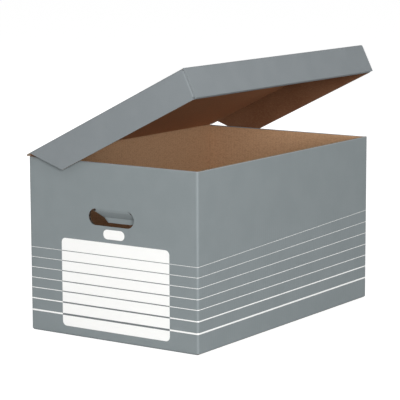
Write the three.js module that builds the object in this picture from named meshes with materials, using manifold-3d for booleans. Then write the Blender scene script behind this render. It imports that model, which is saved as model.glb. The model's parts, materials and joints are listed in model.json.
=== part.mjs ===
// Flip-top archive box: a carton folded from printed corrugated board, for a row of A4 files.
// Millimetres, +Z up. X runs across the box, from the hinge wall (-X) to the open long wall (+X).
// Y runs along it, from the labelled end (-Y) to the far end (+Y). The origin is the middle of the
// underside. The lid stands part open and the two hand-hole flaps are pushed in.
import * as THREE from "three";
import { mergeVertices } from "three/addons/utils/BufferGeometryUtils.js";
import Module from "manifold-3d";

const wasm = await Module();
wasm.setup();

// Driving dimensions of the box
const boxWidth = 336;
const boxLength = 530;
const boxHeight = 290;

// The board: B flute, and the tight radius it takes on the inside of a fold
const board = 3;
const foldInside = 0.5;
const foldOutside = foldInside + board;
const layerGap = 0.4; // air between two layers that lie on each other
const seamGap = 1.5; // between two bottom flaps that meet edge to edge

// The base is double. The end flaps rise over the ends of the long walls' flaps, which stop short.
const riseStart = 8; // from the end face to where an end flap starts to rise
const riseEnd = 23; // and to where it lies on the other flaps
const flapSetback = 25; // from the end face to the cut end of a long wall's flap
const cornerFoot = 2; // height at which the vertical folds end
const arcSteps = 5; // facets in a quarter turn of a fold

// The lid, a tray that fits over the walls
const lidWidth = 355; // from the hinge to the front face of its skirt
const lidLength = 548;
const skirtDepth = 51;
const mitreStart = 9; // along the end skirts' top edges, clear of the hinge wall
const cornerTab = 70; // end-skirt tab, tucked inside the rolled front skirt
const lidOpening = 26.4; // degrees, as the box stands

// The hand holes, punched through both layers of each end
const handHoleWidth = 90;
const handHoleHeight = 27;
const handHoleMiddle = 202; // above the underside
const innerHoleRelief = 2; // the inner layer's hole is this much larger all round
const innerHoleLift = 4; // and reaches higher, so that the flap can fold up through it
const flapCut = 0.4; // die-cut gap round a flap
const flapOpening = 42; // degrees that a flap is pushed in

const halfWidth = boxWidth / 2;
const halfLength = boxLength / 2;
const halfLid = lidLength / 2;
const foldMiddle = foldInside + board / 2; // bend radius of the board's mid-line

// Solids from three.js geometry, for joining and cutting
function toSolid(geometry) {
  const bare = geometry.clone();
  bare.deleteAttribute("normal");
  bare.deleteAttribute("uv");
  const merged = mergeVertices(bare, 1e-4);
  return new wasm.Manifold(
    new wasm.Mesh({
      numProp: 3,
      vertProperties: new Float32Array(merged.attributes.position.array),
      triVerts: new Uint32Array(merged.index.array),
    }),
  );
}

function toGeometry(solid) {
  const mesh = solid.getMesh();
  const geometry = new THREE.BufferGeometry();
  geometry.setAttribute("position", new THREE.BufferAttribute(mesh.vertProperties, 3));
  geometry.setIndex(new THREE.BufferAttribute(mesh.triVerts, 1));
  const faceted = geometry.toNonIndexed();
  faceted.computeVertexNormals();
  return faceted;
}

function join(...solids) {
  return solids.reduce((whole, solid) => whole.add(solid));
}

// Extrusions along each axis. alongX takes (y, z) outlines, alongY (x, z) and alongZ (x, y).
function extrude(outline, low, high) {
  return new THREE.ExtrudeGeometry(outline, { depth: high - low, bevelEnabled: false }).translate(0, 0, low);
}

function alongX(outline, low, high) {
  const turned = new THREE.Matrix4().set(0, 0, 1, 0, 1, 0, 0, 0, 0, 1, 0, 0, 0, 0, 0, 1);
  return toSolid(extrude(outline, low, high).applyMatrix4(turned));
}

function alongY(outline, low, high) {
  const turned = new THREE.Matrix4().set(1, 0, 0, 0, 0, 0, -1, 0, 0, 1, 0, 0, 0, 0, 0, 1);
  return toSolid(extrude(outline, -high, -low).applyMatrix4(turned));
}

function alongZ(outline, low, high) {
  return toSolid(extrude(outline, low, high));
}

function rectangle(x0, y0, x1, y1) {
  return new THREE.Shape([
    new THREE.Vector2(x0, y0),
    new THREE.Vector2(x1, y0),
    new THREE.Vector2(x1, y1),
    new THREE.Vector2(x0, y1),
  ]);
}

// The cut section of a folded board. corners are [a, b, bend] points of its mid-line, in order;
// bend is the mid-line's radius at that corner, and the two ends have none.
function foldedBoard(corners) {
  const line = [];
  corners.forEach(([a, b, bend], i) => {
    const here = new THREE.Vector2(a, b);
    if (!bend) {
      line.push(here);
      return;
    }
    const back = new THREE.Vector2(corners[i - 1][0], corners[i - 1][1]).sub(here).normalize();
    const ahead = new THREE.Vector2(corners[i + 1][0], corners[i + 1][1]).sub(here).normalize();
    const centre = here.clone().addScaledVector(back, bend).addScaledVector(ahead, bend);
    for (let k = 0; k <= arcSteps; k++) {
      const turn = (k / arcSteps) * (Math.PI / 2);
      line.push(
        centre
          .clone()
          .addScaledVector(ahead, -bend * Math.cos(turn))
          .addScaledVector(back, -bend * Math.sin(turn)),
      );
    }
  });
  // Two bends in a row share a point where one ends and the next begins
  const clean = line.filter((point, i) => i === 0 || point.distanceTo(line[i - 1]) > 1e-3);
  const sideOf = (side) =>
    clean.map((point, i) => {
      const from = clean[Math.max(i - 1, 0)];
      const to = clean[Math.min(i + 1, clean.length - 1)];
      const before = point.clone().sub(from).normalize();
      const after = to.clone().sub(point).normalize();
      const along = before.clone().add(after).normalize();
      const stretch = before.length() && after.length() ? Math.sqrt((1 + before.dot(after)) / 2) : 1;
      const reach = (side * board) / 2 / stretch;
      return new THREE.Vector2(point.x - along.y * reach, point.y + along.x * reach);
    });
  const outline = [...sideOf(1), ...sideOf(-1).reverse()];
  return new THREE.Shape(THREE.ShapeUtils.isClockWise(outline) ? outline.reverse() : outline);
}

// A quarter ring, the plan of a vertical fold. start is the angle where it begins.
function quarterRing(x, y, start) {
  const shape = new THREE.Shape();
  shape.absarc(x, y, foldOutside, start, start + Math.PI / 2, false);
  shape.absarc(x, y, foldInside, start + Math.PI / 2, start, true);
  return new THREE.Shape(shape.getPoints(arcSteps));
}

// A slot with round ends, centred on (x, y)
function roundSlot(x, y, width, height) {
  const radius = height / 2;
  const reach = width / 2 - radius;
  const shape = new THREE.Shape();
  shape.absarc(x + reach, y, radius, -Math.PI / 2, Math.PI / 2, false);
  shape.absarc(x - reach, y, radius, Math.PI / 2, (3 * Math.PI) / 2, false);
  return new THREE.Shape(shape.getPoints(2 * arcSteps));
}

// Two copies of a solid, at the labelled end and turned round to the far end
function atBothEnds(solid) {
  return solid.add(solid.rotate([0, 0, 180]));
}

// One end of the box in section: a bottom flap, the outer wall, the rolled rim and the inner
// wall, which hangs down to the flap. The flap starts at the fold and is a little narrower.
function endStrip() {
  const flapLevel = board + layerGap + board / 2;
  const outerWall = -(halfLength - board / 2);
  const innerWall = outerWall + board + layerGap;
  const foldStart = -(halfLength - foldOutside);
  const rim = boxHeight - board / 2;
  const roll = (board + layerGap) / 2;
  const walls = foldedBoard([
    [foldStart + 1, board / 2, 0],
    [outerWall, board / 2, foldMiddle],
    [outerWall, rim, roll],
    [innerWall, rim, roll],
    [innerWall, flapLevel + board / 2 + layerGap, 0],
  ]);
  const flap = foldedBoard([
    [-seamGap / 2, flapLevel, 0],
    [-(halfLength - riseEnd), flapLevel, 0],
    [-(halfLength - riseStart), board / 2, 0],
    [foldStart, board / 2, 0],
  ]);
  const reach = halfWidth - foldOutside;
  return alongX(walls, -reach, reach).add(alongX(flap, -reach + seamGap, reach - seamGap));
}

// One long wall with its bottom flap. side is +1 for the open wall and -1 for the hinge wall.
function longStrip(side) {
  const wall = side * (halfWidth - board / 2);
  const foldStart = side * (halfWidth - foldOutside);
  const section = foldedBoard([
    [foldStart - side, board / 2, 0],
    [wall, board / 2, foldMiddle],
    [wall, boxHeight, 0],
  ]);
  const reach = halfLength - foldOutside;
  const flapReach = halfLength - flapSetback;
  const [low, high] = [(side * seamGap) / 2, foldStart].sort((a, b) => a - b);
  const flap = alongZ(rectangle(low, -flapReach, high, flapReach), 0, board);
  return alongY(section, -reach, reach).add(flap);
}

function cornerFolds() {
  const x = halfWidth - foldOutside;
  const y = halfLength - foldOutside;
  return [
    [x, y, 0],
    [-x, y, Math.PI / 2],
    [-x, -y, Math.PI],
    [x, -y, -Math.PI / 2],
  ].map(([cx, cy, start]) => alongZ(quarterRing(cx, cy, start), cornerFoot, boxHeight));
}

// The hand hole of the labelled end: one cut for the outer wall and a larger one for the inner
function handHoleCutters() {
  const outerFace = -halfLength - 1;
  const betweenLayers = -(halfLength - board - layerGap / 2);
  const pastInnerFace = -(halfLength - 2 * board - layerGap) + 1;
  const outer = roundSlot(0, handHoleMiddle, handHoleWidth, handHoleHeight);
  const inner = roundSlot(
    0,
    handHoleMiddle + (innerHoleLift - innerHoleRelief) / 2,
    handHoleWidth + 2 * innerHoleRelief,
    handHoleHeight + innerHoleRelief + innerHoleLift,
  );
  return alongY(outer, outerFace, betweenLayers).add(alongY(inner, betweenLayers, pastInnerFace));
}

function boxBody() {
  const walls = join(atBothEnds(endStrip()), longStrip(1), longStrip(-1), ...cornerFolds());
  return walls.subtract(atBothEnds(handHoleCutters()));
}

// The lid as it lies closed, in (u, w): u runs from the hinge to the front and w up from the
// hinge line, which is the outer edge of the crease.
function lidPanel() {
  const reach = halfLid - foldOutside;
  return alongZ(rectangle(0, -reach, lidWidth - foldOutside, reach), -board, 0);
}

// The front skirt: one board folded down, rolled round the corner tabs and back up inside
function frontSkirt() {
  const outer = lidWidth - board / 2;
  const inner = outer - 2 * (board + layerGap);
  const bottom = -(skirtDepth - board / 2);
  const rolled = foldedBoard([
    [outer, -2 * foldOutside, 0],
    [outer, bottom, foldMiddle],
    [inner, bottom, foldMiddle],
    [inner, -(board + layerGap), 0],
  ]);
  const folded = foldedBoard([
    [lidWidth - foldOutside, -board / 2, 0],
    [outer, -board / 2, foldMiddle],
    [outer, -(skirtDepth - foldInside), 0],
  ]);
  const insideEnds = halfLid - foldOutside;
  const overEnds = halfLid - layerGap;
  return alongY(rolled, -insideEnds, insideEnds).add(alongY(folded, -overEnds, overEnds));
}

// The skirt over the labelled end, with its 45 degree mitre at the hinge and its corner tab
function endSkirt() {
  const face = -(halfLid - board / 2);
  const section = foldedBoard([
    [-(halfLid - foldOutside), -board / 2, 0],
    [face, -board / 2, foldMiddle],
    [face, -skirtDepth, 0],
  ]);
  const tabFace = lidWidth - board - layerGap;
  const corner = [tabFace - foldOutside, -(halfLid - foldOutside)];
  const skirt = alongX(section, 0, corner[0]);
  const fold = alongZ(quarterRing(corner[0], corner[1], -Math.PI / 2), -skirtDepth + foldOutside, -foldOutside);
  const tab = alongZ(
    rectangle(tabFace - board, corner[1], tabFace, corner[1] + cornerTab),
    -skirtDepth + foldOutside + board,
    -foldOutside,
  );
  const mitre = new THREE.Shape([
    new THREE.Vector2(-1, 1),
    new THREE.Vector2(mitreStart - 1, 1),
    new THREE.Vector2(mitreStart + skirtDepth + 1, -skirtDepth - 1),
    new THREE.Vector2(-1, -skirtDepth - 1),
  ]);
  return join(skirt, fold, tab).subtract(alongY(mitre, -halfLid - 1, -(halfLid - foldOutside)));
}

function lid() {
  const nearEnd = endSkirt();
  return join(lidPanel(), frontSkirt(), nearEnd, nearEnd.mirror([0, 1, 0]));
}

// A hand-hole flap, hanging from its crease along the top of the hole. y runs into the box.
function handFlap() {
  const cut = roundSlot(0, -handHoleHeight / 2, handHoleWidth - 2 * flapCut, handHoleHeight - 2 * flapCut);
  return alongY(cut, -board, 0);
}

// Printed board: flat grey, dull as uncoated paper
function printedBoard(colour) {
  return new THREE.MeshStandardMaterial({ color: colour, roughness: 0.85, metalness: 0 });
}

function piece(name, solid, material) {
  const mesh = new THREE.Mesh(toGeometry(solid), material);
  mesh.name = name;
  return mesh;
}

const box = new THREE.Group();
box.add(piece("box_body", boxBody(), printedBoard(0x899193)));

const lidHinge = new THREE.Group();
lidHinge.position.set(-halfWidth, 0, boxHeight + layerGap + board);
lidHinge.rotation.y = -THREE.MathUtils.degToRad(lidOpening);
lidHinge.add(piece("lid", lid(), printedBoard(0x868b8e)));
box.add(lidHinge);

// The labelled end's flap, and the far end's turned round to face it
for (const [name, turn] of [
  ["hand_flap_front", 0],
  ["hand_flap_rear", Math.PI],
]) {
  const end = new THREE.Group();
  end.rotation.z = turn;
  const crease = new THREE.Group();
  crease.position.set(0, -(halfLength - board), handHoleMiddle + handHoleHeight / 2);
  crease.rotation.x = THREE.MathUtils.degToRad(flapOpening);
  crease.add(piece(name, handFlap(), printedBoard(0x899193)));
  end.add(crease);
  box.add(end);
}

export default box;
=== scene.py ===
import json
import math

import bmesh
import bpy
from mathutils import Matrix, Vector


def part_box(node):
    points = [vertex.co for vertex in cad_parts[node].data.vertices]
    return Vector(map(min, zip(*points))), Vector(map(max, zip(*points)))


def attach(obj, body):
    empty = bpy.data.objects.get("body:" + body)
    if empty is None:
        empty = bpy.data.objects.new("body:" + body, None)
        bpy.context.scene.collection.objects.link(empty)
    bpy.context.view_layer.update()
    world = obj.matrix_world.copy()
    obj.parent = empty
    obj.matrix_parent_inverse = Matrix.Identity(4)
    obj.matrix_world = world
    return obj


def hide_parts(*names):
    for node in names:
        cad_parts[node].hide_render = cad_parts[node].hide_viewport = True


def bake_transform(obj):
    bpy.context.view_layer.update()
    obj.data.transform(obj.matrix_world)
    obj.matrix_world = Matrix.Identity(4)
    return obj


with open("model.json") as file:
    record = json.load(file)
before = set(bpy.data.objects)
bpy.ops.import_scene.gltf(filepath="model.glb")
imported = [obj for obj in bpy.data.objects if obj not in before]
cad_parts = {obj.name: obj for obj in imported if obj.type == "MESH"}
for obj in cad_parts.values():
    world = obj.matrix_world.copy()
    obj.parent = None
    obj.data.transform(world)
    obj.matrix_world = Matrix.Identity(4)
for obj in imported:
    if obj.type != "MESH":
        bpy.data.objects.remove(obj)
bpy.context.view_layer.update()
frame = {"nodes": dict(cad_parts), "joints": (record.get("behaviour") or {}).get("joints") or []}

# Box body: one blank of B-flute corrugated board, white-faced outside and kraft inside, creased,
# folded into four walls and glued. Each end wall rolls over its rim and hangs down inside as a
# second layer. The grey is flexo print on the white liner, with crushed, paler fold lines.
MM = 0.001
BOARD = 3 * MM
LAYER_GAP = 0.4 * MM           # air between two layers that lie on each other
FOLD = 3.5 * MM                # outer radius of a folded corner
FLUTE_PITCH = 6.1 * MM         # B flute, one wave of the middle sheet
NEAR = 0.1 * MM                # room for rounding where a face's place is tested
PRINT_GREY = "#848C8E"
DEEP_PRINT = "#5D6568"         # where the ink lies thick
WORN_AND_HIGHLIT_PRINT = "#A1A6AA"         # where it has cracked or rubbed off, and the painted highlight along the rims
KRAFT = "#C49E7B"
KRAFT_PALE = "#C39E7C"
KRAFT_DARK = "#8A6748"

HALF_WIDTH, HALF_LENGTH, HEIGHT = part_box("box_body")[1]


def linear(hex_colour):
    """An sRGB hex colour as the linear RGBA that a node socket takes."""
    channels = [int(hex_colour[i : i + 2], 16) / 255 for i in (1, 3, 5)]
    return [c / 12.92 if c <= 0.04045 else ((c + 0.055) / 1.055) ** 2.4 for c in channels] + [1]


def add(tree, kind, inputs=None, **settings):
    """Adds a node with its settings. An input is a value, or another node's output socket."""
    node = tree.nodes.new(kind)
    for name, value in settings.items():
        setattr(node, name, value)
    for name, value in (inputs or {}).items():
        if isinstance(value, bpy.types.NodeSocket):
            tree.links.new(value, node.inputs[name])
        else:
            node.inputs[name].default_value = value
    return node


def new_material(name):
    """A material with only a Principled shader, and the node tree, the shader and Object coordinates."""
    material = bpy.data.materials.new(name)
    material.use_nodes = True
    tree = material.node_tree
    tree.nodes.clear()
    shader = add(tree, "ShaderNodeBsdfPrincipled", {"IOR": 1.5})
    output = add(tree, "ShaderNodeOutputMaterial")
    tree.links.new(shader.outputs["BSDF"], output.inputs["Surface"])
    place = add(tree, "ShaderNodeTexCoord").outputs["Object"]
    return material, tree, shader, place


def compute(tree, operation, *values):
    """The result of one operation on numbers or sockets."""
    return add(tree, "ShaderNodeMath", dict(enumerate(values)), operation=operation).outputs[0]


def times(tree, a, b):
    """The product of two numbers or sockets."""
    return compute(tree, "MULTIPLY", a, b)


def noise(tree, place, size, detail):
    """Soft random values round 0.5, in lumps of that size."""
    inputs = {"Vector": place, "Scale": 1 / size, "Detail": detail}
    return add(tree, "ShaderNodeTexNoise", inputs).outputs["Fac"]


def band(tree, value, start, end):
    """0 where value is below start, 1 above end, smooth between."""
    inputs = {"Value": value, "From Min": start, "From Max": end}
    node = add(tree, "ShaderNodeMapRange", inputs, interpolation_type="SMOOTHSTEP")
    return node.outputs["Result"]


def mix_colour(tree, factor, a, b):
    """Colour a where factor is 0, and b where it is 1."""
    node = add(tree, "ShaderNodeMix", data_type="RGBA")
    for socket, value in ((node.inputs[0], factor), (node.inputs[6], a), (node.inputs[7], b)):
        if isinstance(value, bpy.types.NodeSocket):
            tree.links.new(value, socket)
        else:
            socket.default_value = value
    return node.outputs[2]


def washboard(tree, place, across, relief):
    """The flutes showing faintly through a liner: a wave along across, as (wave, bump normal)."""
    fibre_size = 1.2 * MM
    along = add(tree, "ShaderNodeVectorMath", {0: place, 1: across}, operation="DOT_PRODUCT")
    wave = compute(tree, "SINE", times(tree, along.outputs["Value"], 2 * math.pi / FLUTE_PITCH))
    rough = compute(tree, "MULTIPLY_ADD", noise(tree, place, fibre_size, 4.0), 0.5, wave)
    bump = add(tree, "ShaderNodeBump", {"Height": rough, "Distance": relief, "Strength": 1.0})
    return wave, bump.outputs["Normal"]


def printed_liner(name, colour, across, pale_mask=None):
    """Flexo-printed liner: flat water-based ink on paper. Matt, with a faint sheen, a slight
    cloudiness where the ink sank in unevenly, and paler where the mask given says: folds where the coat
    cracked, and on the walls' rims a painted highlight too."""
    flute_relief, cloud_size, grain_size = 0.02 * MM, 45 * MM, 0.9 * MM
    lighter = linear(WORN_AND_HIGHLIT_PRINT)
    material, tree, shader, place = new_material(name)
    normal = washboard(tree, place, across, flute_relief)[1]
    clouds = noise(tree, place, cloud_size, 3.0)
    grain = noise(tree, place, grain_size, 2.0)
    pale = mix_colour(tree, 0.04, linear(colour), lighter)
    deep = mix_colour(tree, 0.03, linear(colour), linear(DEEP_PRINT))
    ink = mix_colour(tree, band(tree, clouds, 0.35, 0.65), deep, pale)
    speckle = times(tree, band(tree, grain, 0.55, 0.8), 0.10)
    ink = mix_colour(tree, speckle, ink, lighter)
    if pale_mask:
        ink = mix_colour(tree, pale_mask(tree, place, grain), ink, lighter)
    tree.links.new(ink, shader.inputs["Base Color"])
    tree.links.new(normal, shader.inputs["Normal"])
    shader.inputs["Roughness"].default_value = 0.62
    shader.inputs["Specular IOR Level"].default_value = 0.28
    return material


def kraft_liner(name, colour, across):
    """Unbleached kraft paper: warm brown, matt, with long darker fibres, faint pale blotches and
    the flutes showing through."""
    flute_relief, blotch_size = 0.05 * MM, 60 * MM
    fibre_grid = (300, 300, 1200)       # lumps to the metre, so the fibres lie level
    material, tree, shader, place = new_material(name)
    wave, normal = washboard(tree, place, across, flute_relief)
    stretched = add(tree, "ShaderNodeMapping", {"Vector": place, "Scale": fibre_grid})
    fibres = noise(tree, stretched.outputs["Vector"], 1, 5.0)
    blotch = noise(tree, place, blotch_size, 2.0)
    dark = times(tree, band(tree, fibres, 0.42, 0.72), 0.5)
    paper = mix_colour(tree, dark, linear(colour), linear(KRAFT_DARK))
    pale = times(tree, band(tree, blotch, 0.4, 0.7), 0.06)
    paper = mix_colour(tree, pale, paper, linear(KRAFT_PALE))
    stripe = compute(tree, "MULTIPLY_ADD", wave, 0.04, 0.05)
    paper = mix_colour(tree, stripe, paper, linear(KRAFT_DARK))
    tree.links.new(paper, shader.inputs["Base Color"])
    tree.links.new(normal, shader.inputs["Normal"])
    shader.inputs["Roughness"].default_value = 0.88
    shader.inputs["Specular IOR Level"].default_value = 0.2
    return material


def cut_board(name, across, liner, hollow_shade):
    """Die-cut edge of corrugated board: two thin liners with the openings of the flutes between
    them, painted as a row of dark dots along the edge: painted shade in the open flutes."""
    flute_relief = 0.25 * MM
    material, tree, shader, place = new_material(name)
    wave, normal = washboard(tree, place, across, flute_relief)
    colour = mix_colour(tree, band(tree, wave, -0.1, 0.7), linear(liner), linear(hollow_shade))
    tree.links.new(colour, shader.inputs["Base Color"])
    tree.links.new(normal, shader.inputs["Normal"])
    shader.inputs["Roughness"].default_value = 0.92
    return material


def body_wear_and_rim_highlight(tree, place, grain):
    """Where the body's print is paler: worn along the vertical folds, and along the rims both worn and a
    painted highlight.
    """
    crack_from, crack_full = 2.9 * MM, 1.6 * MM         # in from a wall's outer face
    rim_from, rim_full = 1.8 * MM, 0.5 * MM             # down from the rim
    parts = add(tree, "ShaderNodeSeparateXYZ", {"Vector": place}).outputs
    fold = 1.0
    for axis, half in (("X", HALF_WIDTH), ("Y", HALF_LENGTH)):
        distance = compute(tree, "ABSOLUTE", parts[axis])
        fold = times(tree, fold, band(tree, distance, half - crack_from, half - crack_full))
    # Along the rims the pale band is print worn at the roll and a painted highlight on its lit top
    rim = band(tree, parts["Z"], HEIGHT - rim_from, HEIGHT - rim_full)
    rim = times(tree, rim, times(tree, band(tree, grain, 0.2, 0.6), 0.8))
    return compute(tree, "MAXIMUM", times(tree, fold, 0.08), rim)


# The way the waves follow one another. The flutes themselves lie across it.
WALL_FLUTES = (1, 1, 0)        # upright in the walls, so the wave runs round the box
END_FLUTES = (1, 0, 0)
SIDE_FLUTES = (0, 1, 0)
HOLE_FLUTES = (0, 0, 1)

# Flat mid-grey ink that shows the paper's grain, pales where the board is folded, and has a painted
# highlight along the rims
grey_wall = printed_liner("grey_flexo_print_on_liner", PRINT_GREY, WALL_FLUTES, body_wear_and_rim_highlight)
# Warm brown paper with upright flutes showing through
kraft_wall = kraft_liner("kraft_liner_upright_flutes", KRAFT, WALL_FLUTES)
# The same paper on the floor of the box, its flutes running along it
kraft_floor = kraft_liner("kraft_liner_base", KRAFT, END_FLUTES)
# Plain off-white paper underneath
base_liner = printed_liner("unprinted_white_liner", "#E4E2DC", SIDE_FLUTES)
# Brown cut edge with painted shade as dark openings where the flutes end
cut_edge = cut_board("die_cut_board_edge", WALL_FLUTES, "#857766", "#4A3D31")
# The same edge inside the hand holes, darker: darkened by hands, and painted shade
hole_edge_dirt_and_shade = cut_board("hand_hole_cut_edge_dirt_and_shade", HOLE_FLUTES, "#4B423B", "#1D1814")

# Distances from the core of the space inside, which ends where the folds begin. A face closer than
# the first is the board's inside, one beyond the second its outside, and one between is cut.
INNER_FACE = 0.8 * MM
OUTER_FACE = 3.2 * MM


def core_distance(point, low, high):
    """How far a point lies outside a box, low to high."""
    gap = [max(low[i] - point[i], point[i] - high[i], 0) for i in range(3)]
    return Vector(gap).length


def body_face(centre, normal):
    """Which material a face of the body has: 0 print, 1 kraft, 2 floor, 3 base, 4 cut, 5 hole."""
    x, y, z = abs(centre.x), abs(centre.y), centre.z
    lining = HALF_LENGTH - 2 * BOARD - LAYER_GAP        # inner face of an end's second layer
    lining_back = lining + 0.9 * MM
    rim, floor_top = HEIGHT - 3.3 * MM, 6.6 * MM
    hole_reach, hole_low, hole_high = 50 * MM, 150 * MM, 250 * MM
    free_x, free_y = HALF_WIDTH - FOLD, lining - 0.6 * MM       # clear of the walls' inner faces
    if z > rim and y > lining_back and x < HALF_WIDTH - FOLD - NEAR:
        return 0
    if z < floor_top and abs(normal.z) > 0.5 and y < HALF_LENGTH - FOLD:
        return 2 if normal.z > 0 else 3
    if lining - NEAR < y < lining_back and normal.y * centre.y < 0:
        return 1
    if x < hole_reach and abs(normal.y) < 0.5 and hole_low < z < hole_high:
        return 5
    low = Vector((FOLD - HALF_WIDTH, FOLD - HALF_LENGTH, FOLD))
    high = Vector((HALF_WIDTH - FOLD, HALF_LENGTH - FOLD, 1))
    distance = core_distance(centre, low, high)
    if distance > OUTER_FACE:
        return 0
    if distance > INNER_FACE or (x < free_x and y < free_y):
        return 4
    return 1


def dress(node, materials, choose):
    """Gives a CAD node its materials, face by face."""
    mesh = frame["nodes"][node].data
    mesh.materials.clear()
    for material in materials:
        mesh.materials.append(material)
    for polygon in mesh.polygons:
        polygon.material_index = choose(polygon.center, polygon.normal)


dress("box_body", [grey_wall, kraft_wall, kraft_floor, base_liner, cut_edge, hole_edge_dirt_and_shade], body_face)


# Rim of the open long wall: a straight die-cut edge, so the sheets of the board show: two liners
# with the wavy middle sheet glued between them. They stand a little proud of the cut.
def edge_flutes_tree():
    """Geometry Nodes: a wavy ribbon between two straight ones, along X, centred on the origin."""
    steps_a_wave = 10.0
    tree = bpy.data.node_groups.new("board_edge_flutes", "GeometryNodeTree")
    for name in ("Length", "Pitch", "Swing", "Sheet", "Proud", "Board"):
        tree.interface.new_socket(name, in_out="INPUT", socket_type="NodeSocketFloat")
    tree.interface.new_socket("Material", in_out="INPUT", socket_type="NodeSocketMaterial")
    tree.interface.new_socket("Geometry", in_out="OUTPUT", socket_type="NodeSocketGeometry")
    sources = add(tree, "NodeGroupInput").outputs

    waves = compute(tree, "DIVIDE", sources["Length"], sources["Pitch"])
    inputs = {"Size X": sources["Length"], "Size Y": sources["Sheet"], "Vertices Y": 2}
    inputs["Vertices X"] = times(tree, waves, steps_a_wave)
    ribbon = add(tree, "GeometryNodeMeshGrid", inputs)
    position = add(tree, "GeometryNodeInputPosition").outputs[0]
    along = add(tree, "ShaderNodeSeparateXYZ", {"Vector": position}).outputs["X"]
    turns = compute(tree, "DIVIDE", along, sources["Pitch"])
    wave = compute(tree, "SINE", times(tree, turns, 2 * math.pi))
    swing = add(tree, "ShaderNodeCombineXYZ", {"Y": times(tree, wave, sources["Swing"])})
    inputs = {"Geometry": ribbon.outputs["Mesh"], "Offset": swing.outputs[0]}
    waved = add(tree, "GeometryNodeSetPosition", inputs)
    up = add(tree, "ShaderNodeCombineXYZ", {"Z": sources["Proud"]})
    inputs = {"Mesh": waved.outputs["Geometry"], "Offset": up.outputs[0], "Offset Scale": 1.0}
    inputs["Individual"] = False
    middle = add(tree, "GeometryNodeExtrudeMesh", inputs, mode="FACES")

    joined = add(tree, "GeometryNodeJoinGeometry")
    tree.links.new(middle.outputs["Mesh"], joined.inputs[0])
    spread = compute(tree, "SUBTRACT", sources["Board"], sources["Sheet"])
    inputs = {"X": sources["Length"], "Y": sources["Sheet"], "Z": sources["Proud"]}
    size = add(tree, "ShaderNodeCombineXYZ", inputs)
    for side in (0.5, -0.5):
        liner = add(tree, "GeometryNodeMeshCube", {"Size": size.outputs[0], "Vertices X": 2})
        inputs = {"Y": times(tree, spread, side), "Z": times(tree, sources["Proud"], 0.5)}
        offset = add(tree, "ShaderNodeCombineXYZ", inputs)
        inputs = {"Geometry": liner.outputs["Mesh"], "Translation": offset.outputs[0]}
        placed = add(tree, "GeometryNodeTransform", inputs)
        tree.links.new(placed.outputs[0], joined.inputs[0])

    real = add(tree, "GeometryNodeRealizeInstances", {"Geometry": joined.outputs[0]})
    inputs = {"Geometry": real.outputs[0], "Material": sources["Material"]}
    finished = add(tree, "GeometryNodeSetMaterial", inputs)
    add(tree, "NodeGroupOutput", {"Geometry": finished.outputs[0]})
    return tree


def from_nodes(name, tree, values):
    """Runs a Geometry Nodes tree with these inputs and returns its result as a plain mesh object."""
    carrier = bpy.data.objects.new("carrier", bpy.data.meshes.new("carrier"))
    bpy.context.scene.collection.objects.link(carrier)
    modifier = carrier.modifiers.new("nodes", "NODES")
    modifier.node_group = tree
    sockets = {s.name: s.identifier for s in tree.interface.items_tree if s.in_out == "INPUT"}
    for key, value in values.items():
        modifier[sockets[key]] = value
    evaluated = carrier.evaluated_get(bpy.context.evaluated_depsgraph_get())
    mesh = bpy.data.meshes.new_from_object(evaluated)
    bpy.data.objects.remove(carrier)
    mesh.name = name
    piece = bpy.data.objects.new(name, mesh)
    bpy.context.scene.collection.objects.link(piece)
    return piece


def plain_material(name, colour, roughness, specular):
    """A material of one even colour."""
    material, _, shader, _ = new_material(name)
    shader.inputs["Base Color"].default_value = linear(colour)
    shader.inputs["Roughness"].default_value = roughness
    shader.inputs["Specular IOR Level"].default_value = specular
    return material


# Dull grey-brown paper, so that the rim reads as two fine lines with a wave between them
sheet_edge = plain_material("kraft_sheet_edge", "#8E8475", 0.9, 0.5)
flutes = edge_flutes_tree()


def board_edge(name, length, turn, body):
    """A cut edge of that length, moved to its place by the matrix turn."""
    values = {
        "Length": length,
        "Pitch": FLUTE_PITCH,
        "Swing": 0.95 * MM,
        "Sheet": 0.32 * MM,
        "Proud": 0.3 * MM,
        "Board": BOARD,
        "Material": sheet_edge,
    }
    piece = from_nodes(name, flutes, values)
    piece.data.transform(turn)
    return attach(piece, body)


QUARTER = math.pi / 2
rim_length = 2 * (HALF_LENGTH - FOLD)
rim_place = Matrix.Translation((HALF_WIDTH - BOARD / 2, 0, HEIGHT))
board_edge("open_wall_rim", rim_length, rim_place @ Matrix.Rotation(QUARTER, 4, "Z"), "box")


# Print on the four walls: white lines left bare in the grey ink, thick near the floor and thinner
# upward, running unbroken round the folds and spreading out toward the far end. The ink is only a
# film, so they follow the liner.
FILM = 0.06 * MM               # how far the lines lie off the wall
# In millimetres: the lines' heights at the labelled end and at the far end, and their thickness
LINE_HEIGHTS = (34.4, 54.1, 72.3, 89.1, 106.6, 123.6, 140.3)
FAR_HEIGHTS = (36.2, 57.2, 77.0, 96.8, 117.2, 137.6, 158.2)
LINE_WEIGHTS = (2.6, 1.85, 1.02, 0.9, 0.76, 0.64, 0.54)
FOLD_STEPS = 6                 # facets in a quarter turn

# Clean white coated paper, with a little more sheen than the kraft
white_print = plain_material("bare_white_liner", "#FAFAF8", 0.7, 0.25)


def mesh_piece(name, shape, materials, body):
    """A plain mesh object from a bmesh, riding on a body if one is given, and left on its own if not."""
    bmesh.ops.recalc_face_normals(shape, faces=shape.faces)
    mesh = bpy.data.meshes.new(name)
    shape.to_mesh(mesh)
    shape.free()
    for material in materials:
        mesh.materials.append(material)
    piece = bpy.data.objects.new(name, mesh)
    bpy.context.scene.collection.objects.link(piece)
    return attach(piece, body) if body else piece


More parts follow.
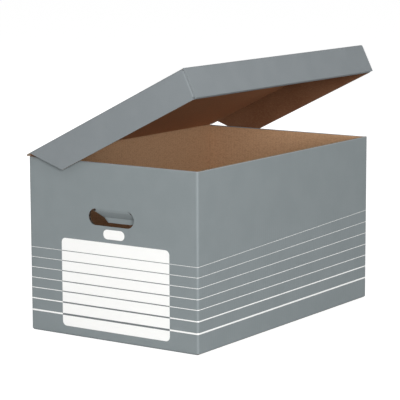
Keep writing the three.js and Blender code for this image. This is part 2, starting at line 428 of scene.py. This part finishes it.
def rounded(half_x, half_y, radius):
    """The outline of a rectangle with round corners, centred on the origin."""
    points = []
    for quarter, (side_x, side_y) in enumerate(((1, 1), (-1, 1), (-1, -1), (1, -1))):
        for step in range(FOLD_STEPS + 1):
            angle = QUARTER * (quarter + step / FOLD_STEPS)
            x = side_x * (half_x - radius) + radius * math.cos(angle)
            y = side_y * (half_y - radius) + radius * math.sin(angle)
            points.append((x, y))
    return points


lines = bmesh.new()
outer_plan, inner_plan = [
    rounded(HALF_WIDTH + offset, HALF_LENGTH + offset, FOLD + offset) for offset in (FILM, -FILM)
]
for height, far_height, weight in zip(LINE_HEIGHTS, FAR_HEIGHTS, LINE_WEIGHTS):
    rings = []
    for plan in (outer_plan, inner_plan):
        for side in (-0.5, 0.5):
            ring = []
            for x, y in plan:
                along = min(max((y + HALF_LENGTH) / (2 * HALF_LENGTH), 0), 1)
                z = height + (far_height - height) * along + side * weight
                ring.append(lines.verts.new((x, y, z * MM)))
            rings.append(ring)
    for a, b in ((0, 1), (1, 3), (3, 2), (2, 0)):
        for i in range(len(outer_plan)):
            j = (i + 1) % len(outer_plan)
            lines.faces.new((rings[a][i], rings[a][j], rings[b][j], rings[b][i]))
mesh_piece("printed_lines", lines, (white_print,), "box")


# Label field of the labelled end: a white panel with round corners left bare in the grey, for
# writing on. The lines cross it in grey ink. Above it is a small bare white lozenge.
LABEL_WIDTH, LABEL_HEIGHT = 215 * MM, 146.1 * MM
LABEL_MIDDLE = (6 * MM, 88.45 * MM)                     # a little to the right of the wall's
LABEL_CORNER = 7.5 * MM
LOZENGE_WIDTH, LOZENGE_HEIGHT = 42 * MM, 15.6 * MM
LOZENGE_MIDDLE = (5.0 * MM, 175.4 * MM)
LOZENGE_CORNER = 0.48 * LOZENGE_HEIGHT
RULE_WEIGHTS = (3.2, 2.4, 1.7, 1.6, 1.4, 1.25, 1.1)     # in millimetres, from the lowest up


def white_field(name, middle, width, height, corner):
    """A thin round-cornered plate on the labelled end, just over the lines."""
    shape = bmesh.new()
    outline = [(middle[0] + x, middle[1] + z) for x, z in rounded(width / 2, height / 2, corner)]
    front = [shape.verts.new((x, -HALF_LENGTH - 2 * FILM, z)) for x, z in outline]
    back = [shape.verts.new((x, -HALF_LENGTH + FILM, z)) for x, z in outline]
    shape.faces.new(front)
    shape.faces.new(back)
    for i in range(len(outline)):
        j = (i + 1) % len(outline)
        shape.faces.new((front[i], front[j], back[j], back[i]))
    mesh_piece(name, shape, (white_print,), "box")


white_field("label_field", LABEL_MIDDLE, LABEL_WIDTH, LABEL_HEIGHT, LABEL_CORNER)
white_field("lozenge", LOZENGE_MIDDLE, LOZENGE_WIDTH, LOZENGE_HEIGHT, LOZENGE_CORNER)

# Grey ink a tone darker than the walls, so that the rules stand out on the white
grey_rule = plain_material("grey_ink_rules", "#6F7577", 0.65, 0.5)

rules = bmesh.new()
for height, weight in zip(LINE_HEIGHTS, RULE_WEIGHTS):
    bar = bmesh.ops.create_cube(rules, size=1)["verts"]
    bmesh.ops.scale(rules, verts=bar, vec=(LABEL_WIDTH, 4 * FILM, weight * MM))
    bmesh.ops.translate(rules, verts=bar, vec=(LABEL_MIDDLE[0], -HALF_LENGTH - FILM, height * MM))
mesh_piece("label_rules", rules, (grey_rule,), "box")


# Lid: a tray folded from the same blank, joined to the hinge wall by a crease. Its front skirt is
# rolled round the tabs of the end skirts. Print outside, kraft inside, part open at rest.
lid_joint = next(j for j in frame["joints"] if j["name"] == "lid_crease")
PIVOT = Vector(lid_joint["pos_m"])
OPENING = math.radians(-lid_joint["range_deg"][0])
LID_WIDTH = 355 * MM
LID_HALF_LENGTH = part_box("lid")[1].y
LID_GREY = "#82888B"
FRONT_SKIRT = 3 * BOARD + 2 * LAYER_GAP                 # three boards thick
MITRE_END = 70 * MM
# From the row frame to the closed lid's own: x from the hinge, y along it, z up from the crease
to_lid = Matrix.Rotation(OPENING, 4, "Y") @ Matrix.Translation(-PIVOT)


def lid_wear(tree, place, grain):
    """Paler print along the folds of the lid's skirts, in the lid's own frame."""
    wear_from, wear_full = 2.4 * MM, 1.2 * MM           # in from the lid's outer faces
    inputs = {"Vector": place, "Center": PIVOT, "Axis": (0, 1, 0), "Angle": OPENING}
    turned = add(tree, "ShaderNodeVectorRotate", inputs)
    own = add(tree, "ShaderNodeVectorMath", {0: turned.outputs[0], 1: PIVOT}, operation="SUBTRACT")
    parts = add(tree, "ShaderNodeSeparateXYZ", {"Vector": own.outputs[0]}).outputs
    across = compute(tree, "ABSOLUTE", parts["Y"])
    top = band(tree, parts["Z"], -wear_from, -wear_full)
    front = band(tree, parts["X"], LID_WIDTH - wear_from, LID_WIDTH - wear_full)
    side = band(tree, across, LID_HALF_LENGTH - wear_from, LID_HALF_LENGTH - wear_full)
    edges = times(tree, top, compute(tree, "MAXIMUM", front, side))
    lighter = compute(tree, "MAXIMUM", edges, times(tree, front, side))
    return times(tree, times(tree, lighter, band(tree, grain, 0.25, 0.65)), 0.15)


# The lid's grey, a tone darker than the walls'
grey_lid = printed_liner("grey_flexo_print_on_lid", LID_GREY, SIDE_FLUTES, lid_wear)
# The lid's kraft inside the skirts, painted a deep brown as painted shade, so that the tray reads as
# deep and shaded
kraft_lid_painted_shade = kraft_liner("kraft_liner_lid", "#6E4731", SIDE_FLUTES)
# Kraft under the panel, painted a warmer, darker brown than the walls' kraft: painted shade
kraft_panel_painted_shade = kraft_liner("kraft_liner_lid_panel_painted_shade", "#B47F5C", SIDE_FLUTES)
# Pale cut edges with the flutes as dots of painted shade
cut_lid = cut_board("die_cut_lid_edge", (1, 1, 1), "#9A8D7E", "#6A5B4C")


def lid_face(centre, normal):
    """Which of the lid's materials a face has: 0 print, 1 kraft, 2 cut, 3 the panel's underside."""
    own = to_lid @ centre
    facing = to_lid.to_3x3() @ normal
    if own.x > LID_WIDTH - FRONT_SKIRT - NEAR or own.x < NEAR:
        return 0
    low = Vector((-1, FOLD - LID_HALF_LENGTH, -1))
    high = Vector((LID_WIDTH - FOLD, LID_HALF_LENGTH - FOLD, -FOLD))
    distance = core_distance(own, low, high)
    if distance > OUTER_FACE:
        return 0
    mitred = abs(facing.x + facing.z) > 1.2 and own.x < MITRE_END
    if mitred or distance > INNER_FACE:
        return 2
    return 3 if facing.z < -0.8 else 1


dress("lid", [grey_lid, kraft_lid_painted_shade, cut_lid, kraft_panel_painted_shade], lid_face)


# Crease of the lid: the strip of the blank between the hinge wall and the lid, crushed along a
# scored line so that it bends there. The outside is print, paler along the rim: worn where it flexes,
# and a painted highlight.
GRIP = 0.2 * MM                # how far a strip reaches into the board on each side
HAIR = 0.02 * MM               # clearance that keeps two faces apart
wall_side = [Vector((x, 0, HEIGHT - GRIP)) for x in (-HALF_WIDTH, BOARD - HALF_WIDTH)]
lid_side = [to_lid.inverted() @ Vector((GRIP, 0, z)) for z in (-BOARD, 0)]

crease = bmesh.new()
crease_reach = HALF_LENGTH - FOLD
ends = []
for y in (-crease_reach, crease_reach):
    ends.append([crease.verts.new((p.x, y, p.z)) for p in wall_side + lid_side])
for i in range(4):
    j = (i + 1) % 4
    face = crease.faces.new((ends[0][i], ends[0][j], ends[1][j], ends[1][i]))
    face.material_index = 1 if i == 1 else 0
for end in ends:
    crease.faces.new(end)
crease_piece = mesh_piece("lid_crease_strip", crease, (grey_wall, kraft_wall), None)
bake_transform(crease_piece)


# Hand-hole flaps: the die-cut pieces of the end walls, left joined along the top of each hole and
# pushed in with the fingers. The board has stayed curled: it turns in sharply below the crease and
# back again halfway down, and one end is folded in along a slant.
FLAP_REACH = 31.2 * MM         # half the straight part of the cut
FLAP_RADIUS = 12.6 * MM        # its round ends
SHOULDER = 0.9 * MM            # trimmed off the upper ends, clear of the cut
BEND_LENGTH = 2.6 * MM         # of crushed board between the wall and the stiff part of the flap
CURL = ((0, 6), (3, 33), (11, 38), (13.5, 44), (18, 2), (27, 0))        # mm down, degrees inward
CURL_STEPS = 60
EAR_FROM = Vector((-34 * MM, 0))                        # the slanting fold, across and down
EAR_TO = Vector((-9.5 * MM, 26 * MM))
EAR_FOLD = math.radians(58)    # how far the end beyond it is folded in
EAR_BEND = 4 * MM              # over which length it turns
EAR_DEEPENS = 12 * MM          # how far below the crease it is folded fully
ROWS, COLUMNS = 20, 28
CREASE_SPREAD = 5.4 * MM       # how much wider the crushed board is at the flap
CREASE_INSET = 0.4 * MM        # and how far it is from the wall's inner face
CREASE_LAP = 0.3 * MM          # and how far it laps over the flap
CREASE_CLEAR = 0.1 * MM        # and off the flap's inner face

# The walls' grey, with the flutes upright
grey_flap = printed_liner("grey_flexo_print_on_flap", PRINT_GREY, END_FLUTES)
# The walls' warm brown paper, seen from inside
kraft_flap = kraft_liner("kraft_liner_flap", KRAFT, END_FLUTES)
# Dark cut edge that outlines the flap, with the flutes as dots of painted shade
cut_flap = cut_board("die_cut_flap_edge", END_FLUTES, "#6E6256", "#2E2620")


def curled(down):
    """How far in and down the curled board's inner face is, and its lean, that far below the crease."""
    inward = low = 0.0
    for step in range(CURL_STEPS):
        at = (step + 0.5) * down / CURL_STEPS / MM
        for (start, lean_start), (end, lean_end) in zip(CURL, CURL[1:]):
            if start <= at <= end:
                share = (at - start) / (end - start)
                lean = math.radians(lean_start + (lean_end - lean_start) * share)
        inward += math.sin(lean) * down / CURL_STEPS
        low -= math.cos(lean) * down / CURL_STEPS
    return inward, low, lean


def flap_point(across, down, depth):
    """A point of the flap from its crease: across, down and depth outward from its inner face."""
    slant = (EAR_TO - EAR_FROM).normalized()
    away = Vector((-slant.y, slant.x))
    beyond = max((Vector((across, down)) - EAR_FROM).dot(away), 0)
    fold = EAR_FOLD * min(beyond / EAR_BEND, 1) * min(down / EAR_DEEPENS, 1)
    shift = beyond * (math.cos(fold) - 1) + depth * math.sin(fold)
    inward, low, lean = curled(max(down + shift * away.y, 0))
    raised = beyond * math.sin(fold) - depth * math.cos(fold)
    inward += raised * math.cos(lean)
    low += raised * math.sin(lean)
    return Vector((across + shift * away.x, inward, low))


def flap_shape():
    """The curled board as a bmesh, with its crease's inner edge at the origin."""
    shape = bmesh.new()
    grid = []
    for depth in (0, BOARD):
        sheet = []
        for row in range(ROWS + 1):
            turn = 1 - math.cos(math.pi * row / ROWS)
            down = BEND_LENGTH + (FLAP_RADIUS - BEND_LENGTH / 2) * turn
            rise = FLAP_RADIUS - down + SHOULDER * (1 - down / (2 * FLAP_RADIUS))
            half = FLAP_REACH + math.sqrt(max(FLAP_RADIUS**2 - rise**2, 0))
            places = [half * (2 * column / COLUMNS - 1) for column in range(COLUMNS + 1)]
            sheet.append([shape.verts.new(flap_point(across, down, depth)) for across in places])
        grid.append(sheet)
    for layer, sheet in enumerate(grid):
        for upper, lower in zip(sheet, sheet[1:]):
            for c in range(COLUMNS):
                corners = (upper[c], upper[c + 1], lower[c + 1], lower[c])
                shape.faces.new(corners).material_index = 1 - layer
    inner, outer = grid
    rim = [(0, c) for c in range(COLUMNS)] + [(r, COLUMNS) for r in range(ROWS)]
    rim += [(ROWS, c) for c in range(COLUMNS, 0, -1)] + [(r, 0) for r in range(ROWS, 0, -1)]
    for (r0, c0), (r1, c1) in zip(rim, rim[1:] + rim[:1]):
        corners = (inner[r0][c0], inner[r1][c1], outer[r1][c1], outer[r0][c0])
        shape.faces.new(corners).material_index = 2
    return shape


def crease_shape():
    """The crushed board from the wall's cut to the flap, in the same place as flap_shape."""
    strip = bmesh.new()
    sides = []
    for wall_end, flap_end in ((-FLAP_REACH, -FLAP_REACH), (FLAP_REACH, FLAP_REACH + CREASE_SPREAD)):
        points = [(wall_end, HAIR - BOARD, GRIP), (wall_end, -CREASE_INSET, GRIP)]
        for depth in (CREASE_CLEAR, BOARD):
            points.append(flap_point(flap_end, BEND_LENGTH + CREASE_LAP, depth))
        sides.append([strip.verts.new(point) for point in points])
    for i in range(4):
        j = (i + 1) % 4
        strip.faces.new((sides[0][i], sides[0][j], sides[1][j], sides[1][i]))
    for side in sides:
        strip.faces.new(side)
    return strip


for node, body in (("hand_flap_front", "front_flap"), ("hand_flap_rear", "rear_flap")):
    hinge = next(j for j in frame["joints"] if j["child"] == body)
    turn = Matrix.Rotation(0 if hinge["pos_m"][1] < 0 else math.pi, 4, "Z")
    place = Matrix.Translation(hinge["pos_m"]) @ turn
    shape = flap_shape()
    shape.transform(place)
    flap = mesh_piece(f"curled_{node}", shape, (grey_flap, kraft_flap, cut_flap), body)
    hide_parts(node)

    strip = crease_shape()
    strip.transform(place)
    crease_of_flap = mesh_piece(f"crease_{node}", strip, (grey_flap,), None)
    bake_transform(crease_of_flap)


# Floor, light and camera: a white sweep under plain, soft studio light, seen through a long lens.
FLOOR_GLOW = 0.8               # seen by the camera only, so that the floor is as white as the sky
AMBIENT = 0.346                # the sky's strength, which the camera sees as 1
FLOOR_LEVEL = -0.5 * MM

# Matt white that runs into the background and keeps the soft shadow
stage_white, stage_tree, stage_shader, _ = new_material("white_sweep")
stage_shader.inputs["Base Color"].default_value = linear("#C4C4C4")
stage_shader.inputs["Roughness"].default_value = 1.0
stage_shader.inputs["Specular IOR Level"].default_value = 0.0
stage_shader.inputs["Emission Color"].default_value = (1, 1, 1, 1)
seen = add(stage_tree, "ShaderNodeLightPath").outputs["Is Camera Ray"]
glow = times(stage_tree, seen, FLOOR_GLOW)
stage_tree.links.new(glow, stage_shader.inputs["Emission Strength"])

floor_shape = bmesh.new()
bmesh.ops.create_grid(floor_shape, x_segments=1, y_segments=1, size=30)
floor_mesh = bpy.data.meshes.new("floor")
floor_shape.to_mesh(floor_mesh)
floor_shape.free()
floor_mesh.materials.append(stage_white)
floor = bpy.data.objects.new("floor", floor_mesh)
floor.location.z = FLOOR_LEVEL
bpy.context.scene.collection.objects.link(floor)

world = bpy.data.worlds.new("studio")
bpy.context.scene.world = world
world.use_nodes = True
sky = world.node_tree
sky.nodes.clear()
seen = add(sky, "ShaderNodeLightPath").outputs["Is Camera Ray"]
strength = compute(sky, "MULTIPLY_ADD", seen, 1 - AMBIENT, AMBIENT)
background = add(sky, "ShaderNodeBackground", {"Color": (1, 1, 1, 1), "Strength": strength})
add(sky, "ShaderNodeOutputWorld", {"Surface": background.outputs[0]})


def look(thing, target, azimuth, elevation, distance, roll=0.0):
    """Links a lamp or camera and aims it at the target from that far. Azimuth 0 looks along +Y."""
    a, e = math.radians(azimuth), math.radians(elevation)
    back = Vector((math.sin(a) * math.cos(e), -math.cos(a) * math.cos(e), math.sin(e)))
    rolled = Matrix.Rotation(math.radians(roll), 3, "Z").to_quaternion()
    thing.location = target + back * distance
    thing.rotation_mode = "QUATERNION"
    thing.rotation_quaternion = (-back).to_track_quat("-Z", "Y") @ rolled
    bpy.context.scene.collection.objects.link(thing)


def soft_box(name, azimuth, elevation, distance, size, power):
    """A square soft box that looks at the middle of the box."""
    lamp = bpy.data.lights.new(name, "AREA")
    lamp.size = size
    lamp.energy = power
    look(bpy.data.objects.new(name, lamp), Vector((0, 0, 0.2)), azimuth, elevation, distance)


soft_box("key", azimuth=43, elevation=14, distance=5.0, size=2.0, power=205)
soft_box("top", azimuth=45, elevation=60, distance=3.0, size=2.0, power=15)
soft_box("back", azimuth=225, elevation=30, distance=3.5, size=2.0, power=28)

CAMERA_AIM = Vector((0.1492, -0.2314, 0.2405))
camera = bpy.data.objects.new("camera", bpy.data.cameras.new("camera"))
camera.data.sensor_width = 36
camera.data.lens = 166.3
camera.data.clip_end = 100
look(camera, CAMERA_AIM, azimuth=34.54, elevation=9.05, distance=2.8859, roll=-0.23)
bpy.context.scene.camera = camera
bpy.context.scene.view_settings.view_transform = "Standard"
